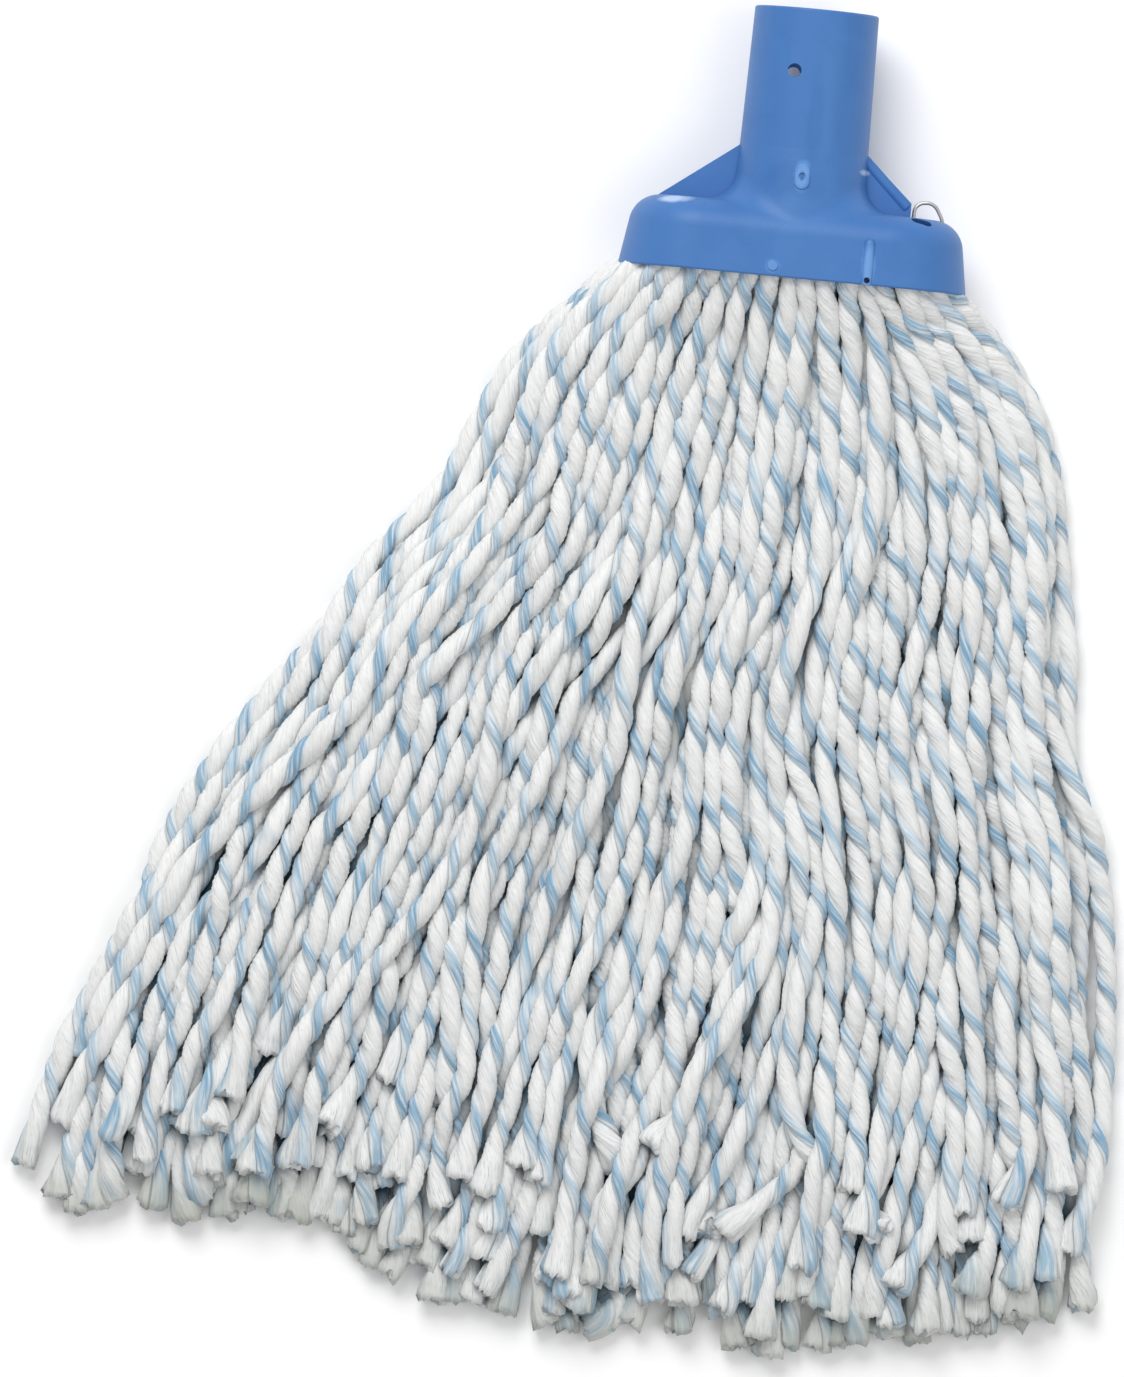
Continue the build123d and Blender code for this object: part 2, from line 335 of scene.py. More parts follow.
def hold_lengths(route, step):
    """Keeps each leg's particles at their own spacing, even links and then odd ones."""
    for start in (0, 1):
        link = route[:, start + 1::2] - route[:, start:-1:2]
        size = np.linalg.norm(link, axis=2, keepdims=True) + TINY
        fix = 0.5 * link * (1 - step / size)
        route[:, start:-1:2] += fix
        route[:, start + 1::2] -= fix


def settle(route, along, radius, legs):
    """Lets the yarn sink under its own weight onto the floor and onto itself."""
    plan = route.copy()
    held = along < HELD_RUN
    step = ((legs.length + LEG_START_UP) / (POINTS_PER_LEG - 1))[:, None, None]
    leg = np.repeat(np.arange(legs.count), POINTS_PER_LEG)
    flat_radius = radius.ravel()
    drawn = STRAND_RADIUS / REST_RADIUS
    for turn in range(SETTLE_STEPS):
        done = turn / SETTLE_STEPS
        if turn % PAIRS_EVERY == 0:
            a, b = near_pairs(route.reshape(-1, 3), leg)
        route[:, :, 2] -= SINK * (1 - SINK_EASE * done)
        guide = GUIDE * (1 - GUIDE_EASE * done)
        route[:, :, :2] += guide * (plan[:, :, :2] - route[:, :, :2])
        middle = (route[:, :-2] + route[:, 2:]) / 2 - route[:, 1:-1]
        route[:, 1:-1] += STRAIGHTEN * middle
        for _ in range(LENGTH_ROUNDS):
            hold_lengths(route, step)
        flat = route.reshape(-1, 3)
        push_apart(flat, flat_radius, a, b, PUSH)
        np.maximum(route[:, :, 2], FLOOR_Z + drawn * radius, out=route[:, :, 2])
        route[held] = plan[held]
    return route


def cover(route, radius, legs):
    """How much yarn lies about each particle, and on which side: an amount and a vector."""
    flat = route.reshape(-1, 3)
    thick = radius.ravel() / REST_RADIUS
    leg = np.repeat(np.arange(legs.count), POINTS_PER_LEG)
    a, b = near_pairs(flat, leg)
    gap = flat[b] - flat[a]
    distance = np.linalg.norm(gap, axis=1) + TINY
    weight = np.maximum(1 - distance / (NEAR * (thick[a] + thick[b]) / 2), 0)
    pull = gap * (weight / distance)[:, None]
    n = len(flat)
    columns = [np.bincount(a, weight, n) + np.bincount(b, weight, n)]
    columns += [np.bincount(a, pull[:, k], n) - np.bincount(b, pull[:, k], n) for k in range(3)]
    return np.stack(columns, 1).reshape(legs.count, POINTS_PER_LEG, 4)


# === Yarn: meshes ==================================================================================

RING_STEP = 1.5
CREASE_HALF_ANGLE = 4.0
GROOVE_WIDTH = 8.0
BLUE_POINTS = 6
WHITE_POINTS = 9
EDGE_TRIALS = 400
# Each lobe across a strand: angle in degrees, distance out and radius as shares of the strand's radius.
BLUE_LOBES = [(0, 0.40, 0.57)]
WHITE_LOBES = [(152, 0.26, 0.745), (208, 0.26, 0.745)]
# Cosine of the widest angle from a lobe's own direction at which it still counts.
LOBE_BACK = -0.2

# Waves along a leg: height, mm along the leg per radian, and multiples of the leg's start angle.
# Heights are in radians of twist, or shares of the radius for the lumps.
TWIST_WAVES = [(0.7, 17.0, 3), (0.35, 6.5, 5)]
LUMP_WAVES = [(0.05, 7.3, 1), (0.03, 3.1, 2)]
# Multiples of the start angle whose sines make a leg's pitch, opening and size its own.
PITCH_OWN, OPENING_OWN, SIZE_OWN = 9, 4, 5
PITCH_VARIES = 0.14
SIZE_VARIES = 0.06
ROOT_FULLER = 0.13
ROOT_FULL_TO = 25
ROOT_FULL_RUN = 60

# The cut end, past a slight neck: twist lost, widening, rounding, pleats and a ragged cut in mm.
TIP_RUN = 15.0
TIP_TWIST_LOST = 0.8
TIP_FLARE = 0.42
TIP_FLATTEN = 0.25
TIP_OPEN_RUN = 12.0
TIP_OPEN_SHARE = 0.65
TIP_OPEN_VARIES = 0.5
TIP_ROUNDED = 0.5
TIP_ROUND_REACH = 0.92
NECK_RUN = 6.0
NECK_DEPTH = 0.06
PLEATS = 7
PLEAT_DEPTH = 0.06
PLEAT_UNEVEN = 0.075
RAGGED_UNEVEN = 0.55
RAGGED_WAVE = 0.7
INNER_SHARE = 0.6
INNER_OUT = 0.3
INNER_UNEVEN = 0.45
HUB_OUT = 0.2
HUB_BLUE = 0.3
# Painted shade on the tips: its share on the cut end's face, its share by layer from the floor up, and
# the least of a leg's random share.
CUT_END_SHADE = 0.6
TIP_SHADE_BY_LAYER = [1.0, 0.55, 0.25, 0.1]
TIP_SHADE_LEAST = 0.5

# Shading by the yarn that lies about a point: strongest on the side where it lies, weaker at the root.
FULL_COVER = 4.0
SIDE_COVER = 2
ROOT_SHADE = 0.5
ROOT_SHADE_FROM = 10
ROOT_SHADE_RUN = 110


def resample(route, covering, radius):
    """Rings along each leg: centres, radii, distances along and covering, on a smooth line."""
    results = []
    for i, points in enumerate(route):
        link = np.linalg.norm(np.diff(points, axis=0), axis=1)
        at = np.concatenate([[0], np.cumsum(link)])
        rings = int(at[-1] / RING_STEP) + 1
        wanted = np.linspace(0, at[-1], rings)
        slope = np.gradient(points, at, axis=0)
        k = np.clip(np.searchsorted(at, wanted, "right") - 1, 0, len(at) - 2)
        run = (at[k + 1] - at[k])[:, None]
        t = ((wanted - at[k])[:, None]) / run
        centre = (
            (2 * t**3 - 3 * t**2 + 1) * points[k]
            + (t**3 - 2 * t**2 + t) * run * slope[k]
            + (3 * t**2 - 2 * t**3) * points[k + 1]
            + (t**3 - t**2) * run * slope[k + 1]
        )
        thick = np.interp(wanted, at, radius[i]) * STRAND_RADIUS / REST_RADIUS
        covered = np.stack([np.interp(wanted, at, covering[i, :, c]) for c in range(4)], 1)
        results.append((centre, thick, wanted, covered))
    return results


def frames_along(centre):
    """Directions along and two across a line, turned as little as possible from ring to ring."""
    tangent = np.gradient(centre, axis=0)
    tangent /= np.linalg.norm(tangent, axis=1, keepdims=True)
    across = np.zeros_like(tangent)
    side = np.cross(tangent[0], (0.0, 0.0, 1.0))
    for j, t in enumerate(tangent):
        side = side - t * (side @ t)
        side = side / np.linalg.norm(side)
        across[j] = side
    return tangent, across, np.cross(tangent, across)


def lobe_reach(angle, lobes):
    """Distance from the middle of the strand to the outside of round lobes, at some angles."""
    reach = np.zeros(len(angle))
    for lobe_angle, out, radius in lobes:
        off = angle - math.radians(lobe_angle)
        inside = radius**2 - (out * np.sin(off)) ** 2
        hit = (inside > 0) & (np.cos(off) > LOBE_BACK)
        far = out * np.cos(off) + np.sqrt(np.maximum(inside, 0))
        reach = np.where(hit, np.maximum(reach, far), reach)
    return reach


def ply_profile():
    """Outline across a strand: angles, reach as shares of the radius, blueness and groove."""
    trial = np.linspace(0, math.pi, EDGE_TRIALS)
    blue_edge = trial[np.argmax(lobe_reach(trial, WHITE_LOBES) > lobe_reach(trial, BLUE_LOBES))]
    crease = math.radians(CREASE_HALF_ANGLE)
    blue_points = np.linspace(-blue_edge + crease, blue_edge - crease, BLUE_POINTS)
    first = np.linspace(blue_edge + crease, math.pi, WHITE_POINTS)
    second = np.linspace(math.pi, 2 * math.pi - blue_edge - crease, WHITE_POINTS)[1:]
    angle = np.concatenate([blue_points, first, second])
    reach = np.maximum(lobe_reach(angle, WHITE_LOBES), lobe_reach(angle, BLUE_LOBES))
    blue = np.maximum(1 - np.abs(angle) / blue_edge, 0)
    nearest = np.minimum(np.abs(angle - blue_edge), np.abs(angle - (2 * math.pi - blue_edge)))
    nearest = np.minimum(nearest, np.abs(angle + blue_edge))
    groove = np.exp(-((nearest / math.radians(GROOVE_WIDTH)) ** 2))
    return angle, reach, blue, groove


def waves_along(at, start_angle, waves, total=0.0):
    """Waves along a leg, added to a total."""
    for height, run, own in waves:
        total = total + height * np.sin(at / run + own * start_angle)
    return total


def twist_along(at, tip, start_angle):
    """Turn of the plies at each ring, slower in the tip."""
    slow = 1 - TIP_TWIST_LOST * tip[1:]
    turning = np.cumsum(np.concatenate([[0], np.diff(at) * slow]))
    wander = waves_along(at, start_angle, TWIST_WAVES)
    pitch = TWIST_PITCH * (1 + PITCH_VARIES * math.sin(PITCH_OWN * start_angle))
    return start_angle + 2 * math.pi * turning / pitch + wander * (1 - tip)


def width_along(thick, at, start_angle):
    """Radius at each ring: lumpy, fuller at the root, and opened at the tip past a slight neck."""
    to_end = at[-1] - at
    neck = np.exp(-(((to_end - TIP_RUN) / NECK_RUN) ** 2))
    open_share = TIP_OPEN_SHARE + TIP_OPEN_VARIES * math.sin(OPENING_OWN * start_angle)
    opening = TIP_FLARE * open_share * smooth(1 - to_end / TIP_OPEN_RUN)
    own_size = 1 + SIZE_VARIES * math.sin(SIZE_OWN * start_angle)
    fuller = 1 + ROOT_FULLER * (1 - smooth((at - ROOT_FULL_TO) / ROOT_FULL_RUN))
    flare = thick * own_size * fuller * (1 + opening - NECK_DEPTH * neck)
    return flare * waves_along(at, start_angle, LUMP_WAVES, 1.0)


def shade_at(covered, outward, at):
    """How covered each point of a leg's rings is: more where more yarn lies beside it."""
    beside = SIDE_COVER * np.einsum("rk,rck->rc", covered[:, 1:], outward)
    shade = (covered[:, None, 0] + beside) / FULL_COVER
    clear = ROOT_SHADE + (1 - ROOT_SHADE) * smooth((at - ROOT_SHADE_FROM) / ROOT_SHADE_RUN)
    return shade * clear[:, None]


def strand_faces(count, rings):
    """Faces of a leg: quads round it and into the cut end, and triangles to the two hubs."""
    k = np.arange(count)
    after = (k + 1) % count
    base = np.arange(rings)[:, None] * count
    quads = np.stack([base[:-1] + k, base[:-1] + after, base[1:] + after, base[1:] + k], -1)
    last = (rings - 1) * count
    closing = np.stack([last + k, last + after, last + count + after, last + count + k], -1)
    quads = np.concatenate([quads.reshape(-1, 4), closing])
    hub = (rings + 1) * count
    end_fan = np.stack([last + count + k, last + count + after, np.full(count, hub)], -1)
    start_fan = np.stack([after, k, np.full(count, hub + 1)], -1)
    return quads, np.concatenate([end_fan, start_fan])


def strand_mesh(line, start_angle, tip_shade, rng):
    """Vertices, faces and per-vertex values of one twisted leg with a cut, opened end."""
    centre, thick, at, covered = line
    angle, reach, blue, groove = ply_profile()
    count = len(angle)
    rings = len(centre)
    tangent, across, up = frames_along(centre)
    tip = smooth(1 - (at[-1] - at) / TIP_RUN)
    theta = angle[None, :] + twist_along(at, tip, start_angle)[:, None]
    pleats = rng.normal(0, PLEAT_UNEVEN, count) + PLEAT_DEPTH * np.cos(PLEATS * angle + start_angle)
    rounded = TIP_ROUNDED * tip[:, None]
    opened = reach[None, :] * (1 - rounded) + TIP_ROUND_REACH * rounded
    size = width_along(thick, at, start_angle)[:, None] * (opened + pleats[None, :] * tip[:, None])
    outward = (
        np.cos(theta)[:, :, None] * across[:, None, :] + np.sin(theta)[:, :, None] * up[:, None, :]
    )
    ring = centre[:, None, :] + size[:, :, None] * outward
    flat = TIP_FLATTEN * tip
    ring[:, :, 2] -= flat[:, None] * (ring[:, :, 2] - centre[:, None, 2])
    shade = shade_at(covered, outward, at)
    end = ring[-1]
    ragged = rng.normal(0.0, RAGGED_UNEVEN, count) + RAGGED_WAVE * np.sin(2 * angle + start_angle)
    ring[-1] = end + ragged[:, None] * tangent[-1]
    sunk = rng.normal(INNER_OUT, INNER_UNEVEN, (count, 1)) * tangent[-1]
    inner = centre[-1] + INNER_SHARE * (end - centre[-1]) + sunk
    end_hub = centre[-1] + HUB_OUT * tangent[-1]
    vertices = np.concatenate([ring.reshape(-1, 3), inner, [end_hub], [centre[0]]])
    # The cut end's face gets part of the tip's painted shade.
    cut_end_shade = np.full(count, CUT_END_SHADE)
    values = {
        "strand_u": np.concatenate([np.tile(angle, rings + 1), [0, 0]]) / (2 * math.pi),
        "strand_v": np.concatenate([np.repeat(at, count), np.full(count, at[-1]), [at[-1], at[0]]]),
        "blue_ply": np.concatenate([np.tile(blue, rings + 1), [HUB_BLUE, HUB_BLUE]]),
        "groove": np.concatenate([np.tile(groove, rings + 1), [1, 1]]),
        "covered": np.concatenate([shade.ravel(), shade[-1], [shade[-1].mean(), 1]]),
        "tip": np.concatenate([np.repeat(tip, count), np.ones(count), [1, 0]]),
        "tip_shade": tip_shade * np.concatenate([np.repeat(tip, count), cut_end_shade, [CUT_END_SHADE, 0]]),
    }
    quads, triangles = strand_faces(count, rings)
    return vertices, quads, triangles, values


def strands_object(name, strands, rng_seed):
    """One mesh object from several strands, each a line, a start angle, a tint and a share of painted
    shade on its tip.
    """
    rng = np.random.default_rng(rng_seed)
    vertices, loops, sizes, values = [], [], [], {}
    offset = 0
    for line, start_angle, tint, tip_shade in strands:
        points, quads, triangles, parts = strand_mesh(line, start_angle, tip_shade, rng)
        vertices.append(points)
        loops += [(quads + offset).ravel(), (triangles + offset).ravel()]
        sizes += [np.full(len(quads), 4), np.full(len(triangles), 3)]
        parts["tint"] = np.full(len(points), tint)
        for key, part in parts.items():
            values.setdefault(key, []).append(part)
        offset += len(points)
    vertices = np.concatenate(vertices) * MM
    vertices[:, 1] *= -1
    loops = np.concatenate(loops)
    sizes = np.concatenate(sizes)
    mesh = bpy.data.meshes.new(name)
    mesh.vertices.add(len(vertices))
    mesh.vertices.foreach_set("co", vertices.astype(np.float32).ravel())
    mesh.loops.add(len(loops))
    mesh.loops.foreach_set("vertex_index", loops.astype(np.int32))
    mesh.polygons.add(len(sizes))
    mesh.polygons.foreach_set("loop_start", (np.cumsum(sizes) - sizes).astype(np.int32))
    mesh.polygons.foreach_set("loop_total", sizes.astype(np.int32))
    mesh.update(calc_edges=True)
    mesh.validate()
    mesh.shade_smooth()
    for key, parts in values.items():
        layer = mesh.attributes.new(key, "FLOAT", "POINT")
        layer.data.foreach_set("value", np.concatenate(parts).astype(np.float32))
    piece = bpy.data.objects.new(name, mesh)
    bpy.context.scene.collection.objects.link(piece)
    return piece


# === Materials =====================================================================================

# Sockets of the colour mix node: factor, the two colours, and the mixed colour that comes out.
MIX_FACTOR, MIX_FIRST, MIX_SECOND, MIX_OUT = 0, 6, 7, 2


class Nodes:
    """Short way to build a material's node tree."""

    def __init__(self, name):
        self.material = bpy.data.materials.new(name)
        self.material.use_nodes = True
        self.tree = self.material.node_tree
        self.shader = self.tree.nodes["Principled BSDF"]

    def add(self, kind, inputs=None, **settings):
        """A node of some kind, with its settings and then its inputs given."""
        node = self.tree.nodes.new(kind)
        for key, value in settings.items():
            setattr(node, key, value)
        for key, value in (inputs or {}).items():
            self.put(node.inputs[key], value)
        return node

    def put(self, socket, value):
        """Links another node's output to a socket, or sets the socket's constant."""
        if isinstance(value, bpy.types.NodeSocket):
            self.tree.links.new(value, socket)
        else:
            socket.default_value = value

    def mix(self, factor, a, b):
        """Mix of two colours."""
        node = self.tree.nodes.new("ShaderNodeMix")
        node.data_type = "RGBA"
        self.put(node.inputs[MIX_FACTOR], factor)
        self.put(node.inputs[MIX_FIRST], a)
        self.put(node.inputs[MIX_SECOND], b)
        return node.outputs[MIX_OUT]

    def math(self, operation, a, b=0.0, c=0.0):
        """Result of a sum on numbers."""
        node = self.tree.nodes.new("ShaderNodeMath")
        node.operation = operation
        for socket, value in zip(node.inputs, (a, b, c)):
            self.put(socket, value)
        return node.outputs[0]

    def between(self, value, low, high):
        """A value stretched so that low becomes 0 and high becomes 1."""
        inputs = {"Value": value, "From Min": low, "From Max": high}
        return self.add("ShaderNodeMapRange", inputs).outputs[0]

    def value(self, name):
        """A number stored on the mesh."""
        return self.add("ShaderNodeAttribute", attribute_name=name).outputs["Fac"]

    def bump(self, height, strength, distance):
        """Bumps the surface by a height."""
        inputs = {"Height": height, "Strength": strength, "Distance": distance}
        self.put(self.shader.inputs["Normal"], self.add("ShaderNodeBump", inputs).outputs["Normal"])


WHITE_PLY = (0.82, 0.83, 0.83, 1.0)
WARM_PLY = (0.77, 0.765, 0.745, 1.0)
BLUE_PLY = (0.195, 0.365, 0.52, 1.0)
PALE_BLUE_PLY = (0.45, 0.58, 0.68, 1.0)
GROOVE_SHADE = (0.27, 0.38, 0.46, 1.0)
DEEP_SHADE = (0.015, 0.068, 0.105, 1.0)
TIP_SHADE_COLOUR = (0.43, 0.45, 0.41, 1.0)
# Streaks drawn out along a strand: scale round it, scale per mm along it, and detail.
FINE_STREAKS = (70.0, 0.35, 2.0)
COARSE_STREAKS = (22.0, 0.13, 2.0)
PATCHES = (3.0, 0.06, 1.0)
TINT_SPREAD = 97.0
# Ranges of a value over which one colour turns into another.
WARM_RANGE = (0.3, 0.7)
BLUE_RANGE = (0.35, 0.62)
FADED_RANGE = (0.42, 0.7)
PLY_EDGE_RANGE = (0.74, 0.96)
FIBRE_RANGE = (0.5, 0.8)
COVERED_RANGE = (0.69, 1.06)
# Greatest shares of the colours that are mixed in.
FADED_SHARE = 0.7
PATCH_SHARE = 1.1
GROOVE_SHARE = 0.40
FIBRE_SHARE = 0.30
TIP_FIBRE_SHARE = 0.45
COVERED_SHARE = 0.97
FINE_HEIGHT = 0.5
YARN_BUMP = (0.8, 0.0006)


def yarn_material():
    """Two white plies and a light blue one, with fibres along them and shaded grooves."""
    n = Nodes("yarn")
    u, v, tint = n.value("strand_u"), n.value("strand_v"), n.value("tint")

    def streaks(around, along, detail):
        """Noise drawn out along the strand, different on every strand."""
        place = {
            "X": n.math("MULTIPLY", u, around),
            "Y": n.math("MULTIPLY", v, along),
            "Z": n.math("MULTIPLY", tint, TINT_SPREAD),
        }
        vector = n.add("ShaderNodeCombineXYZ", place).outputs[0]
        noise = n.add("ShaderNodeTexNoise", {"Vector": vector, "Scale": 1.0, "Detail": detail})
        return noise.outputs["Fac"]

    fine = streaks(*FINE_STREAKS)
    coarse = streaks(*COARSE_STREAKS)
    patches = streaks(*PATCHES)
    white = n.mix(n.between(coarse, *WARM_RANGE), WHITE_PLY, WARM_PLY)
    blue = n.mix(n.between(patches, *BLUE_RANGE), PALE_BLUE_PLY, BLUE_PLY)
    blue = n.mix(n.math("MULTIPLY", n.between(coarse, *FADED_RANGE), FADED_SHARE), blue, WHITE_PLY)
    bluish = n.math("MULTIPLY_ADD", patches, PATCH_SHARE, n.value("blue_ply"))
    colour = n.mix(n.between(bluish, *PLY_EDGE_RANGE), white, blue)
    colour = n.mix(n.math("MULTIPLY", n.value("groove"), GROOVE_SHARE), colour, GROOVE_SHADE)
    fibres = n.math("MULTIPLY_ADD", n.value("tip"), TIP_FIBRE_SHARE, FIBRE_SHARE)
    colour = n.mix(n.math("MULTIPLY", n.between(fine, *FIBRE_RANGE), fibres), colour, GROOVE_SHADE)
    # Painted shade on the tips, most on the lowest layer.
    colour = n.mix(n.value("tip_shade"), colour, TIP_SHADE_COLOUR)
    covered = n.between(n.value("covered"), *COVERED_RANGE)
    colour = n.mix(n.math("MULTIPLY", covered, COVERED_SHARE), colour, DEEP_SHADE)
    n.put(n.shader.inputs["Base Color"], colour)
    n.shader.inputs["Roughness"].default_value = 0.9
    n.shader.inputs["Sheen Weight"].default_value = 0.25
    n.shader.inputs["Sheen Roughness"].default_value = 0.5
    n.shader.inputs["Specular IOR Level"].default_value = 0.2
    n.bump(n.math("ADD", n.math("MULTIPLY", fine, FINE_HEIGHT), coarse), *YARN_BUMP)
    return n.material


PLASTIC = (0.036, 0.132, 0.370, 1.0)
LIGHTER_PLASTIC = (0.058, 0.178, 0.445, 1.0)
HIGHLIGHT_PLASTIC = (0.16, 0.34, 0.68, 1.0)
BRIGHT_HIGHLIGHT_PLASTIC = (0.55, 0.68, 0.88, 1.0)
DARK_PLASTIC = (0.020, 0.095, 0.300, 1.0)
# Soft marks on the shell, painted highlights and painted shade on its small details and a darker streak
# on the tube: place and half size in mm, strength and colour.
SHELL_MARKS = [
    # Painted shade beside the gate.
    ((-4.2, -45.5, 16.0), (6.0, 5.0, 12.0), 0.30, DARK_PLASTIC),
    ((3.5, -46.5, 16.0), (3.0, 4.0, 12.0), 0.22, DARK_PLASTIC),
    # A darker streak down the middle of the tube.
    ((2.0, -30.0, 16.0), (2.2, 13.0, 12.0), 0.22, DARK_PLASTIC),
    # Painted highlight on the gate's ring.
    ((0.0, -44.2, 18.0), (2.3, 4.0, 9.0), 0.62, HIGHLIGHT_PLASTIC),
    # Painted shade in the gate's dimple.
    ((0.0, -44.2, 18.0), (0.7, 1.3, 9.0), 0.80, DARK_PLASTIC),
    # Painted highlights on the rib and on the pip.
    ((19.4, -65.8, 20.0), (1.7, 6.2, 9.0), 0.65, HIGHLIGHT_PLASTIC),
    ((-5.5, -68.2, 20.0), (2.0, 1.8, 9.0), 0.50, HIGHLIGHT_PLASTIC),
    # Painted highlights along the ledge in front of the left web and on the right web's bead.
    ((-34.7, -52.8, 13.3), (6.5, 1.4, 3.4), 0.65, BRIGHT_HIGHLIGHT_PLASTIC),
    ((15.9, -41.4, 3.0), (1.9, 0.9, 6.0), 0.60, BRIGHT_HIGHLIGHT_PLASTIC),
]
MARK_UNEVEN = 0.6
MARK_RANGE = (1.5, 0.9)
PLASTIC_BUMP = (0.12, 0.0003)


def plastic_material():
    """Moulded blue plastic, semi-gloss, with faint flow marks, and painted highlights and painted shade
    on small details.
    """
    n = Nodes("shell_plastic")
    place = n.add("ShaderNodeTexCoord").outputs["Object"]
    flow = n.add("ShaderNodeTexNoise", {"Vector": place, "Scale": 55.0, "Detail": 4.0, "Distortion": 1.2})
    grain = n.add("ShaderNodeTexNoise", {"Vector": place, "Scale": 900.0, "Detail": 2.0})
    speck = n.add("ShaderNodeTexNoise", {"Vector": place, "Scale": 260.0, "Detail": 3.0})
    colour = n.mix(flow.outputs["Fac"], PLASTIC, LIGHTER_PLASTIC)
    for centre, half_size, strength, mark_colour in SHELL_MARKS:
        offset = n.add("ShaderNodeVectorMath", {0: place, 1: Vector(centre) * MM}, operation="SUBTRACT")
        scaled = n.add(
            "ShaderNodeVectorMath", {0: offset.outputs[0], 1: Vector(half_size) * MM}, operation="DIVIDE"
        )
        reach = n.add("ShaderNodeVectorMath", {0: scaled.outputs[0]}, operation="LENGTH").outputs["Value"]
        uneven = n.math("MULTIPLY_ADD", speck.outputs["Fac"], MARK_UNEVEN, reach)
        inside = n.between(uneven, *MARK_RANGE)
        colour = n.mix(n.math("MULTIPLY", inside, strength), colour, mark_colour)
    n.put(n.shader.inputs["Base Color"], colour)
    n.shader.inputs["Roughness"].default_value = 0.45
    n.shader.inputs["Specular IOR Level"].default_value = 0.32
    n.bump(grain.outputs["Fac"], *PLASTIC_BUMP)
    return n.material


WIRE_DARK = (0.36, 0.33, 0.30, 1.0)
WIRE_PALE = (0.66, 0.62, 0.57, 1.0)


def wire_material():
    """Dull galvanised wire."""
    n = Nodes("wire")
    place = n.add("ShaderNodeTexCoord").outputs["Object"]
    spots = n.add("ShaderNodeTexNoise", {"Vector": place, "Scale": 700.0, "Detail": 3.0})
    n.put(n.shader.inputs["Base Color"], n.mix(spots.outputs["Fac"], WIRE_DARK, WIRE_PALE))
    n.shader.inputs["Metallic"].default_value = 0.85
    n.shader.inputs["Roughness"].default_value = 0.42
    return n.material


def floor_material():
    """Plain pale floor."""
    n = Nodes("floor")
    n.shader.inputs["Base Color"].default_value = (0.93, 0.93, 0.93, 1.0)
    n.shader.inputs["Roughness"].default_value = 0.8
    return n.material


# === Making ========================================================================================

CAD_LAYERS = 3
CAD_COLUMNS = 7
FLOOR_HALF = 15.0
WORLD_STRENGTH = 0.61
LIGHT_TARGET = (-0.04, -0.18, 0.0)
# Square lights: name, place, power in watts and side, with places and sides in metres.
LIGHTS = [("key", (-0.5, 0.95, 1.3), 21.5, 1.0), ("fill", (0.9, -0.3, 1.4), 5.0, 1.0)]


def lock_of(legs, i):
    """The CAD lock that a leg stands in."""
    layer = min(CAD_LAYERS - 1, legs.layer[i] * CAD_LAYERS // LAYERS)
    column = min(CAD_COLUMNS - 1, int(legs.share[i] * CAD_COLUMNS))
    return f"yarn_lock_{layer + 1}{column + 1}"


def finish_yarn_piece(piece, material, nodes):
    """Gives a yarn piece its material, bakes its placement into its mesh and hides the CAD nodes it
    stands in for.
    """
    piece.data.materials.append(material)
    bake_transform(piece)
    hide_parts(*nodes)


def make_declared_leg(number, strand, seed, material, lock):
    """One leg as a piece of its own."""
    piece = strands_object(f"yarn_leg_{number:02d}", [strand], seed)
    finish_yarn_piece(piece, material, [lock])


def make_lock(node, members, material):
    """Legs that stand in one CAD lock, as one piece. Those of the lowest layer replace its fold too."""
    piece = strands_object(f"{node}_strands", members, SEED + int(node[-2:]))
    layer, column = node[-2:]
    nodes = [node] + ([f"yarn_fold_{column}"] if layer == "1" else [])
    finish_yarn_piece(piece, material, nodes)


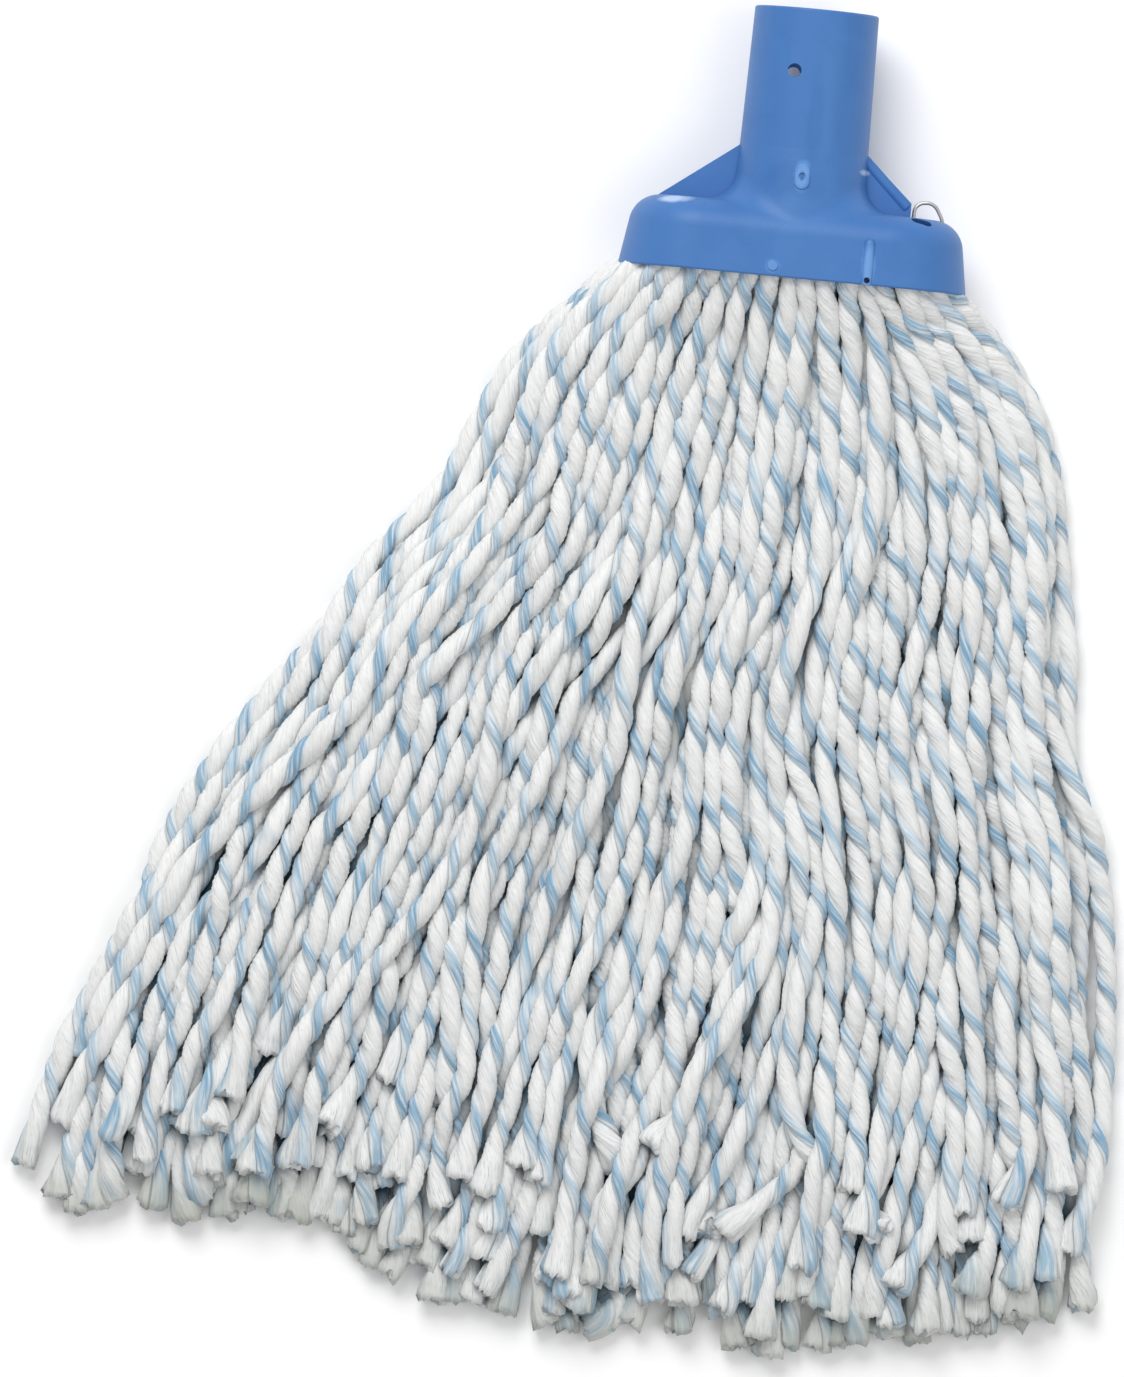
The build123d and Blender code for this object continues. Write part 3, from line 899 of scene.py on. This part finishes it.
def make_yarn():
    """All the legs: those that lie highest are pieces of their own, and the rest are grouped by CAD lock.
    """
    rng = np.random.default_rng(SEED)
    legs = Legs(rng)
    route, along = planned_routes(legs)
    radius = resting_radius(along, legs)
    route = settle(route, along, radius, legs)
    lines = resample(route, cover(route, radius, legs), radius)
    start_angle = rng.uniform(0, 2 * math.pi, legs.count)
    tint = rng.random(legs.count)
    # Painted shade on each leg's tip, more on the lower layers.
    tip_shade = np.array(TIP_SHADE_BY_LAYER)[legs.layer] * rng.uniform(TIP_SHADE_LEAST, 1.0, legs.count)
    strands = [(line, start_angle[i], tint[i], tip_shade[i]) for i, line in enumerate(lines)]
    height = np.array([line[0][:, 2].mean() for line in lines])
    declared = sorted(np.argsort(-height)[:DECLARED_LEGS].tolist())
    material = yarn_material()
    for number, i in enumerate(declared, 1):
        make_declared_leg(number, strands[i], SEED + i, material, lock_of(legs, i))
    groups = {}
    for i in range(legs.count):
        if i not in declared:
            groups.setdefault(lock_of(legs, i), []).append(strands[i])
    for node, members in sorted(groups.items()):
        make_lock(node, members, material)


def paint(node, material):
    """Gives a CAD node its material."""
    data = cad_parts[node].data
    data.materials.clear()
    data.materials.append(material)


def make_floor(z):
    """Plain floor that shows in the picture and isn't part of the mop."""
    mesh = bpy.data.meshes.new("floor")
    corners = [(x * FLOOR_HALF, y * FLOOR_HALF, z) for x, y in ((-1, -1), (1, -1), (1, 1), (-1, 1))]
    mesh.from_pydata(corners, [], [(0, 1, 2, 3)])
    mesh.materials.append(floor_material())
    floor = bpy.data.objects.new("floor", mesh)
    bpy.context.scene.collection.objects.link(floor)
    floor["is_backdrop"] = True


def make_light(name, place, energy, size):
    """An area light that faces the mop."""
    data = bpy.data.lights.new(name, "AREA")
    data.energy = energy
    data.size = size
    light = bpy.data.objects.new(name, data)
    light.location = place
    light.rotation_euler = (Vector(LIGHT_TARGET) - Vector(place)).to_track_quat("-Z", "Y").to_euler()
    bpy.context.scene.collection.objects.link(light)


def make_lights():
    """White surroundings and the lights."""
    world = bpy.data.worlds.new("studio")
    world.use_nodes = True
    world.node_tree.nodes["Background"].inputs["Color"].default_value = (1.0, 1.0, 1.0, 1.0)
    world.node_tree.nodes["Background"].inputs["Strength"].default_value = WORLD_STRENGTH
    bpy.context.scene.world = world
    for light in LIGHTS:
        make_light(*light)
    bpy.context.scene.view_settings.view_transform = "Standard"


make_yarn()
paint("socket_shell", plastic_material())
paint("binding_wire", wire_material())
make_floor(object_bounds()[0].z)
make_lights()
